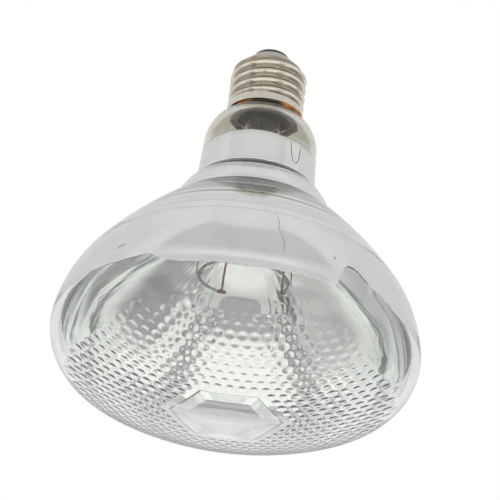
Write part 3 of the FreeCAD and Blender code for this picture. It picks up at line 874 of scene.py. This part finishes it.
def end_tree(tree, geometry, material):
    """Ends a Geometry Nodes tree with real geometry and its material."""
    real = out(tree, "GeometryNodeRealizeInstances", {"Geometry": geometry})
    made = out(tree, "GeometryNodeSetMaterial", {"Geometry": real, "Material": material})
    put(tree, "NodeGroupOutput", {0: made})
    return tree


def make_row_tree():
    """Lays a tile out in staggered rows, inside a circle and outside a hexagon."""
    inputs = {"Geometry": None, "Spacing": CELL_SPACING * MM, "Field Radius": FIELD_RADIUS * MM,
              "Window Reach": 0.0, "Rows": LENS_ROWS}
    tree, given = make_group("dimple_rows", "GeometryNodeTree", inputs, "Geometry")
    rows, spacing = given["Rows"], given["Spacing"]
    points = out(tree, "GeometryNodePoints", {"Count": rows * rows})
    index = out(tree, "GeometryNodeInputIndex")
    row = maths("FLOOR", (index + 0.5) / rows)
    column = index - row * rows
    middle = (rows - 1.0) / 2.0
    odd = maths("MODULO", row, 2.0) * 0.5
    x = (column - middle + odd) * spacing
    y = (row - middle) * (spacing * (math.sqrt(3) / 2))
    place = out(tree, "ShaderNodeCombineXYZ", {"X": x, "Y": y, "Z": 0.0})
    laid = out(tree, "GeometryNodeSetPosition", {"Geometry": points, "Position": place})
    far = out(tree, "ShaderNodeVectorMath", {0: place}, "Value", operation="LENGTH")
    flat_x, flat_y = maths("ABSOLUTE", x), maths("ABSOLUTE", y)
    reach = maths("MAXIMUM", flat_y, flat_x * (math.sqrt(3) / 2) + flat_y * 0.5)
    outside = maths("GREATER_THAN", far, given["Field Radius"])
    over_window = maths("LESS_THAN", reach, given["Window Reach"])
    unwanted = maths("MAXIMUM", outside, over_window)
    kept = out(tree, "GeometryNodeDeleteGeometry", {"Geometry": laid, "Selection": unwanted})
    tiles = out(tree, "GeometryNodeInstanceOnPoints", {"Points": kept, "Instance": given["Geometry"]})
    real = out(tree, "GeometryNodeRealizeInstances", {"Geometry": tiles})
    welded = out(tree, "GeometryNodeMergeByDistance", {"Geometry": real, "Distance": WELD_DISTANCE * MM})
    return end_tree(tree, welded, pressed_glass)


def run_nodes(piece, tree, **values):
    """Runs a Geometry Nodes tree on an object and keeps the result as a plain mesh."""
    modifier = piece.modifiers.new(tree.name, "NODES")
    modifier.node_group = tree
    for item in tree.interface.items_tree:
        if item.item_type == "SOCKET" and item.in_out == "INPUT" and item.name in values:
            modifier[item.identifier] = values[item.name]
    graph = bpy.context.evaluated_depsgraph_get()
    made = bpy.data.meshes.new_from_object(piece.evaluated_get(graph))
    piece.modifiers.clear()
    old = piece.data
    piece.data = made
    bpy.data.meshes.remove(old)
    made.name = piece.name


# The window's size, and the room around window and field, in cell spacings.
WINDOW_RADIUS = 18.4
WINDOW_ROOM, FIELD_ROOM = 0.72, 0.62
window_reach = WINDOW_RADIUS * math.sqrt(3) / 2 + CELL_SPACING * WINDOW_ROOM
run_nodes(lens_cell, make_row_tree(), **{"Window Reach": window_reach * MM})
print("dimple field has", len(lens_cell.data.polygons), "faces")

# %% [markdown]
# The plain glass around the cells is filled in flat, between the cells' ragged border, a circle and
# the window's outline. On the dome these fills stay short, so they follow its curve. The window is
# a flat pane with a sloping frame. Its glass is thicker here than the CAD model's 2 mm: a deep, steep
# frame would mirror the dark neck as a black edge, which the photograph doesn't show.

# %% The lens
WINDOW_GLASS, WINDOW_FLOOR_RADIUS = 3.6, 13.2
# The window's frame: radius, and height above the lens's inner face.
WINDOW_FRAME = ((18.05, 0.16), (17.6, 0.02))
WINDOW_SIDE_STEPS = 16


def hexagon_points(radius):
    """Level points along a six-sided outline with two sides along X."""
    turns = np.radians(60 * np.arange(7))
    corners = np.stack([np.cos(turns), np.sin(turns), np.zeros(7)], 1) * radius
    return [tuple(a + (b - a) * k / WINDOW_SIDE_STEPS)
            for a, b in zip(corners, corners[1:]) for k in range(WINDOW_SIDE_STEPS)]


def add_ring(form, places):
    return [form.verts.new(place) for place in places]


def join_rings(form, a, b):
    for i in range(len(a)):
        j = (i + 1) % len(a)
        form.faces.new((a[i], a[j], b[j], b[i]))


def ring_edges(form, ring):
    return [form.edges.new((a, b)) for a, b in zip(ring, ring[1:] + ring[:1])]


def turned_places(r, z):
    return [(r * math.cos(t), r * math.sin(t), z)
            for t in np.linspace(0, 2 * math.pi, GLASS_STEPS, endpoint=False)]


def lay_on_dome(form):
    """Lifts the flat layout on to the lens's inner face; heights become heights above the glass."""
    for corner in form.verts:
        x, y, h = corner.co
        r = math.hypot(x, y)
        z = lens_height(r, BOWL_WALL)
        centre = (0.0, dome_z) if r < dome_edge(BOWL_WALL) else knuckle_centre
        back = np.array(centre) - (r, z)
        back /= np.linalg.norm(back)
        share = (r + back[0] * h) / r if r > 1e-9 else 0.0
        corner.co = (x * share, y * share, z + back[1] * h)


def knuckle_outline(inset, start):
    """The knuckle, from a radius out to the rim."""
    first = -math.degrees(math.acos((start - knuckle_centre[0]) / (KNUCKLE - inset)))
    return round_points(knuckle_centre, KNUCKLE - inset, first, 0.0)


def make_lens(cells):
    """One closed skin: cells, fills, the wall out to the rim, the outer dome and the window."""
    form = bmesh.new()
    form.from_mesh(cells)
    bmesh.ops.scale(form, vec=(1 / MM,) * 3, verts=form.verts)
    border = [edge for edge in form.edges if len(edge.link_faces) == 1]
    middle = (FIELD_RADIUS + WINDOW_RADIUS) / 2
    inner = [edge for edge in border if edge.verts[0].co.length < middle]
    outer = [edge for edge in border if edge not in set(inner)]
    first_r = FIELD_RADIUS + CELL_SPACING * FIELD_ROOM
    window = add_ring(form, hexagon_points(WINDOW_RADIUS))
    last = add_ring(form, turned_places(first_r, 0.0))
    bmesh.ops.triangle_fill(form, edges=inner + ring_edges(form, window), use_beauty=True)
    bmesh.ops.triangle_fill(form, edges=outer + ring_edges(form, last), use_beauty=True)
    lay_on_dome(form)

    dome = round_points((0.0, dome_z), DOME_RADIUS, -90.0, lens_turn)
    wall = np.vstack([knuckle_outline(BOWL_WALL, last[0].co.xy.length)[1:],
                      knuckle_outline(0.0, dome_edge(0.0))[::-1], dome[1:-1][::-1]])
    for r, z in wall:
        ring = add_ring(form, turned_places(r, z))
        join_rings(form, last, ring)
        last = ring
    pole = form.verts.new((0, 0, dome_z - DOME_RADIUS))
    for a, b in zip(last, last[1:] + last[:1]):
        form.faces.new((a, b, pole))

    loops = [window]
    for radius, height in WINDOW_FRAME:
        loops.append(add_ring(form, [(x, y, lens_height(math.hypot(x, y), BOWL_WALL) + height)
                                     for x, y, _ in hexagon_points(radius)]))
    pane_z = dome_z - DOME_RADIUS + WINDOW_GLASS
    loops.append(add_ring(form, [(x, y, pane_z) for x, y, _ in hexagon_points(WINDOW_FLOOR_RADIUS)]))
    for a, b in zip(loops, loops[1:]):
        join_rings(form, a, b)
    form.faces.new(loops[-1])
    for face in form.faces:
        face.smooth = True
    for loop in loops:
        for a, b in zip(loop, loop[1:] + loop[:1]):
            form.edges.get((a, b)).smooth = False
    bmesh.ops.scale(form, vec=(MM,) * 3, verts=form.verts)
    return keep_form("pressed_lens", form)


pressed_lens = make_lens(lens_cell.data)
bpy.data.objects.remove(lens_cell)
print("lens", len(pressed_lens.data.polygons), "faces")

# %% [markdown]
# The real lens is melted to the bulb, so no line shows at the rim. Two closed glass pieces that touch
# would show one, because light is bent and mirrored again at each of their faces. The two skins are
# therefore opened where they meet and welded, and each half keeps its own glass.


# %% Melting bulb and lens together
def at_rim(corners):
    return all(abs(corner.co.z / MM - rim_z) < 0.001 for corner in corners)


def melt_together(name, bulb, lens):
    """One closed skin from the bulb and the lens, without the faces between them."""
    form = bmesh.new()
    form.from_mesh(bulb.data)
    bulb_count = len(form.faces)
    form.from_mesh(lens.data)
    for k, face in enumerate(form.faces):
        face.material_index = int(k >= bulb_count)
    between = [face for face in form.faces if at_rim(face.verts)]
    bmesh.ops.delete(form, geom=between, context="FACES")
    bmesh.ops.remove_doubles(form, verts=form.verts, dist=1e-6)
    for edge in form.edges:
        if at_rim(edge.verts):
            edge.smooth = True
    print("open edges:", sum(len(edge.link_faces) != 2 for edge in form.edges))
    for old in (bulb, lens):
        bpy.data.objects.remove(old)
    return keep_form(name, form)


glass_envelope = melt_together("glass_envelope", bulb_glass, pressed_lens)
glass_envelope.data.materials.append(blown_glass)
glass_envelope.data.materials.append(pressed_glass)
settle(glass_envelope, "root", "clear_glass", None, "reflector_glass", "front_lens")


# %% [markdown]
# ## The screw shell
#
# The thread is rolled into thin sheet, so both faces carry it. It could be a helix swept around the
# cap, but a rolled sheet is better described by a rule: the turned shell is pushed outwards by an
# amount that depends on height and azimuth. Geometry Nodes apply that rule to every point, with the
# pitch, the arc of the crest and the run of the thread as inputs.

# %% Turned blank of the shell
CREST_RADIUS, THREAD_PITCH, THREAD_ROUND, SHEET = 13.15, 3.629, 1.025, 0.30
THREAD_DEPTH = 2 * THREAD_ROUND - math.sqrt((2 * THREAD_ROUND) ** 2 - (THREAD_PITCH / 2) ** 2)
ROOT_RADIUS = CREST_RADIUS - THREAD_DEPTH
SKIRT, SKIRT_FADE, SHELL_HEIGHT, SHELL_ROUND, LIP_RADIUS = 2.6, 0.9, 24.0, 2.6, 6.2
HEAD_LEAN = math.radians(45.0)
THREAD_START = SKIRT + SKIRT_FADE - THREAD_PITCH / 2
RUN_IN_START, RUN_IN_LENGTH = SKIRT + 0.3, 1.1
SHELL_STEPS = 240
THREAD_ROW = 0.22


def shell_outline():
    """The shell's outer face with no thread, from the skirt's edge to the lip."""
    skirt = [(CREST_RADIUS, z) for z in np.linspace(0, SKIRT, 6)]
    slope_rise = (ROOT_RADIUS - LIP_RADIUS) / math.tan(HEAD_LEAN)
    top = SHELL_HEIGHT - slope_rise - SHELL_ROUND * math.tan(HEAD_LEAN / 2)
    heights = np.arange(SKIRT + THREAD_ROW, top, THREAD_ROW)
    fade = np.clip((heights - SKIRT) / SKIRT_FADE, 0, 1)
    wall = [(CREST_RADIUS - THREAD_DEPTH * f * f * (3 - 2 * f), z) for f, z in zip(fade, heights)]
    turn = np.linspace(0, HEAD_LEAN, 10)
    centre = ROOT_RADIUS - SHELL_ROUND
    head = [(centre + SHELL_ROUND * math.cos(t), top + SHELL_ROUND * math.sin(t)) for t in turn]
    share = np.linspace(0, 1, 26)[1:, None]
    slope = np.array(head[-1]) * (1 - share) + np.array((LIP_RADIUS, SHELL_HEIGHT)) * share
    return np.array(skirt + wall + head + slope.tolist())


def shell_section():
    """The blank's outer and inner face as one closed outline."""
    outline = shell_outline()
    edge = np.gradient(outline, axis=0)
    inward = np.stack([-edge[:, 1], edge[:, 0]], 1)
    inward /= np.linalg.norm(inward, axis=1)[:, None]
    inside = outline + inward * SHEET
    inside[0] = (CREST_RADIUS - SHEET, 0.0)
    inside[-1] = (LIP_RADIUS, SHELL_HEIGHT - SHEET / math.cos(HEAD_LEAN))
    return np.vstack([outline, inside[::-1]])


# %% Rolling the thread, by Geometry Nodes
def make_thread_tree():
    """Pushes a turned skin outwards by a round thread."""
    inputs = {"Geometry": None, "Pitch": THREAD_PITCH * MM, "Round": THREAD_ROUND * MM,
              "Depth": THREAD_DEPTH * MM, "Start": 0.0, "Lowest": RUN_IN_START * MM,
              "Head Room": (LIP_RADIUS + SHELL_HEIGHT * math.tan(HEAD_LEAN) - ROOT_RADIUS) * MM}
    tree, given = make_group("rolled_thread", "GeometryNodeTree", inputs, "Geometry")
    pitch, arc = given["Pitch"], given["Round"]
    x, y, z = split(out(tree, "GeometryNodeInputPosition"))
    turns = maths("ARCTAN2", y, x) / (2 * math.pi)
    phase = maths("WRAP", (z - given["Start"]) / pitch - turns, 0.5, -0.5)
    off_crest = maths("ABSOLUTE", phase) * pitch
    off_root = pitch / 2.0 - off_crest

    def drop(distance):
        """How far an arc falls away from its top at a distance."""
        rest = maths("MAXIMUM", arc * arc - distance * distance, 0.0)
        return arc - maths("SQRT", rest)

    near_crest = maths("LESS_THAN", off_crest, pitch / 4.0)
    wave = (given["Depth"] - drop(off_crest)) * near_crest + drop(off_root) * (1.0 - near_crest)
    run_in = smooth_step(z, given["Lowest"], given["Lowest"] + RUN_IN_LENGTH * MM)
    room = maths("MAXIMUM", given["Head Room"] - z * math.tan(HEAD_LEAN), 0.0)
    push = maths("MINIMUM", wave * run_in, room)
    flat = out(tree, "ShaderNodeCombineXYZ", {"X": x, "Y": y, "Z": 0.0})
    outward = out(tree, "ShaderNodeVectorMath", {0: flat}, operation="NORMALIZE")
    shift = out(tree, "ShaderNodeVectorMath", {0: outward, "Scale": push}, operation="SCALE")
    moved = out(tree, "GeometryNodeSetPosition", {"Geometry": given["Geometry"], "Offset": shift})
    return end_tree(tree, moved, nickel)


blank_section = shell_section()
screw_cap = add_skin("screw_cap", *turn_sections(lambda azimuth: blank_section, SHELL_STEPS))
run_nodes(screw_cap, make_thread_tree(), Start=THREAD_START * MM)
screw_cap.data.set_sharp_from_angle(angle=math.radians(55.0))
settle(screw_cap, "root", "nickel_plate", None, "screw_shell")

# %% [markdown]
# ## The cement
#
# The cap is fixed with cement that was squeezed out on one side when the two were pressed
# together. A ring with a level edge would look machined, so the bead's width and foot vary around it.

# %% Cement bead
CEMENT_STEPS = 180
SQUEEZE_AZIMUTH = -38.0
CEMENT_REACH, CEMENT_SQUEEZE = 12.35, 1.35
CEMENT_GAP, CEMENT_BOND = 0.02, 0.01
CEMENT_CORE_RADIUS = 11.7


def cement_reach(azimuth):
    """How far the bead reaches out from the axis."""
    swell = 0.5 + 0.5 * math.cos(math.radians(azimuth - SQUEEZE_AZIMUTH))
    lumps = 0.05 * math.sin(math.radians(9 * azimuth)) + 0.04 * math.sin(math.radians(23 * azimuth + 40))
    return CEMENT_REACH + CEMENT_SQUEEZE * swell ** 4 + lumps


def cement_section(azimuth):
    """The bead's closed outline: along tube and shoulder, out to its edge, and back up in the cap."""
    tube, reach = TUBE_RADIUS - CEMENT_BOND, cement_reach(azimuth)
    middle = (reach + tube) / 2
    heel, half_way, foot = (height_on(shoulder_centre, SHOULDER_RADIUS + CEMENT_GAP, r)
                            for r in (tube, middle, reach))
    top = -CEMENT_GAP
    in_skirt = min(reach, CREST_RADIUS - SHEET - CEMENT_GAP)
    return [(tube, TUBE_TOP), (tube, heel), (middle, half_way), (reach, foot),
            (reach + 0.10, (foot + top) / 2), (reach, top), (in_skirt - 0.02, top + 0.03), (in_skirt - 0.1, 2.3),
            (CEMENT_CORE_RADIUS, 3.6), (CEMENT_CORE_RADIUS, TUBE_TOP)]


cement_bead = add_skin("cement_bead", *turn_sections(cement_section, CEMENT_STEPS))
settle(cement_bead, "root", "cement", cement_finish, "basing_cement")

# %% [markdown]
# ## The filament
#
# The filament is a fine tungsten wire wound to a tight coil, and the coil is bent to an open ring.
# Two hundred turns are no work for a person, but easy for a rule: each point of a long curve is put
# on a circle that travels around the ring, and the curve then gets its round section.

# %% Coil, by Geometry Nodes
RING_RADIUS, RING_HEIGHT = 15.0, -63.0
RING_START, RING_SWEEP = 112.5, 280.0
COIL_RADIUS, WIRE_RADIUS = 0.46, 0.10
COIL_TURNS, POINTS_PER_TURN, WIRE_SIDES = 190, 10, 6


def make_coil_tree():
    """A round wire wound around a ring."""
    inputs = {"Geometry": None, "Ring Radius": RING_RADIUS * MM, "Coil Radius": COIL_RADIUS * MM,
              "Wire Radius": WIRE_RADIUS * MM, "Turns": 1}
    tree, given = make_group("coiled_ring", "GeometryNodeTree", inputs, "Geometry")
    line = out(tree, "GeometryNodeCurvePrimitiveLine")
    count = given["Turns"] * POINTS_PER_TURN
    many = out(tree, "GeometryNodeResampleCurve", {"Curve": line, "Count": count})
    share = out(tree, "GeometryNodeSplineParameter", output="Factor")
    turn = share * math.radians(RING_SWEEP) + math.radians(RING_START)
    wound = share * given["Turns"] * (2 * math.pi)
    reach = maths("COSINE", wound) * given["Coil Radius"] + given["Ring Radius"]
    x, y = reach * maths("COSINE", turn), reach * maths("SINE", turn)
    z = maths("SINE", wound) * given["Coil Radius"] + RING_HEIGHT * MM
    place = out(tree, "ShaderNodeCombineXYZ", {"X": x, "Y": y, "Z": z})
    bent = out(tree, "GeometryNodeSetPosition", {"Geometry": many, "Position": place})
    inputs = {"Resolution": WIRE_SIDES, "Radius": given["Wire Radius"]}
    section = out(tree, "GeometryNodeCurvePrimitiveCircle", inputs)
    inputs = {"Curve": bent, "Profile Curve": section, "Fill Caps": True}
    wire = out(tree, "GeometryNodeCurveToMesh", inputs)
    smooth = out(tree, "GeometryNodeSetShadeSmooth", {"Geometry": wire})
    return end_tree(tree, smooth, tungsten_finish)


coil = add_mesh("coiled_filament", [(0, 0, RING_HEIGHT)], [])
run_nodes(coil, make_coil_tree(), Turns=COIL_TURNS)
settle(coil, "root", "tungsten", None, "filament")

# %% [markdown]
# ## Floor
#
# The lamp hangs in the air of a light tent, so the floor lies well below the camera and only sends
# pale light up. Its pool of light fades towards the corners, which the camera doesn't see.

# %% Floor
FLOOR_Z, FLOOR_SIZE = -1.32, 1.40
# The floor's glow, a painted pool of light, fades between these two distances from the lamp's origin.
POOL_RANGE = (1.43, 1.485)


def make_floor():
    half = FLOOR_SIZE / 2 / MM
    corners = [(x * half, y * half, FLOOR_Z / MM) for x, y in ((-1, -1), (1, -1), (1, 1), (-1, 1))]
    floor = add_mesh("floor", corners, [(0, 1, 2, 3)], False)
    material, tree = new_material("pale_floor", Roughness=0.8, Emission_Strength=0.30)
    far = out(tree, "ShaderNodeVectorMath", {0: object_place(tree)}, "Value", operation="LENGTH")
    # The floor glows faintly: its emission is a painted pool of light, though the floor is no lamp.
    pool = smooth_step(far, *POOL_RANGE, 1.0, 0.0)
    feed(material, Emission_Color=mixed(pool, (0.0, 0.0, 0.0), (1.0, 1.0, 1.0)),
         Base_Color=mixed(clouds(tree, 400.0, 0.3, 0.7), (0.90, 0.90, 0.895), (0.86, 0.86, 0.86)))
    floor.data.materials.append(material)
    print("floor at", FLOOR_Z, "m")


make_floor()
